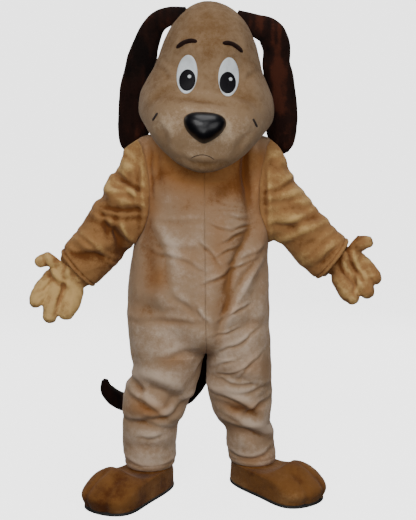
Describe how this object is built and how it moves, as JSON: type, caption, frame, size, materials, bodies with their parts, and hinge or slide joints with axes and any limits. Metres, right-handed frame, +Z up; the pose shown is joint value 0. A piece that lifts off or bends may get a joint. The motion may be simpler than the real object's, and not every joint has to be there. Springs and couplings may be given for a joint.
{
  "type": "dog mascot costume",
  "caption": "Hollow dog costume of plush in its worn pose: a one-piece suit with a padded head, long ears, gloves, shoe covers on soles, a tail and a back zip.",
  "frame": {"origin": "middle of the neck opening, where the wearer holds the costume up", "axes": "+Z up; the front faces -Y; the wearer's right side is at -X"},
  "size_m": [1.2794, 0.6491, 1.8492],
  "materials": {
    "tan_plush": "short pile plush, matte",
    "golden_plush": "short pile plush, matte",
    "brown_plush": "short pile plush, matte",
    "dark_plush": "short pile plush, matte",
    "white_felt": "smooth felt, matte",
    "gloss_black": "glossy",
    "black_rubber": "matte",
    "brown_tape": "woven tape, matte",
    "zip_metal": "satin"
  },
  "bodies": {
    "costume": {"front_right": "tan_plush", "front_left": "tan_plush", "back_right": "tan_plush", "back_left": "tan_plush", "sleeve_right": "golden_plush", "sleeve_left": "golden_plush", "glove_right": "golden_plush", "glove_left": "golden_plush", "glove_cuff_right": "golden_plush", "glove_cuff_left": "golden_plush", "shoe_right": "brown_plush", "shoe_left": "brown_plush", "sole_right": "black_rubber", "sole_left": "black_rubber", "head_face": "tan_plush", "head_back": "tan_plush", "ear_right": "dark_plush", "ear_left": "dark_plush", "eye_white_right": "white_felt", "eye_white_left": "white_felt", "pupil_right": "gloss_black", "pupil_left": "gloss_black", "brow_right": "dark_plush", "brow_left": "dark_plush", "nose": "gloss_black", "tail": "dark_plush", "zip_tape": "brown_tape", "zip_slider": "zip_metal"},
    "zip_tab": {"zip_pull": "zip_metal"}
  },
  "joints": [
    {"name": "pull_swing", "type": "hinge", "parent": "costume", "child": "zip_tab", "pos_m": [0.0017, 0.11717, -0.02511], "axis": [1, 0, 0], "range_deg": [0, 90]}
  ]
}
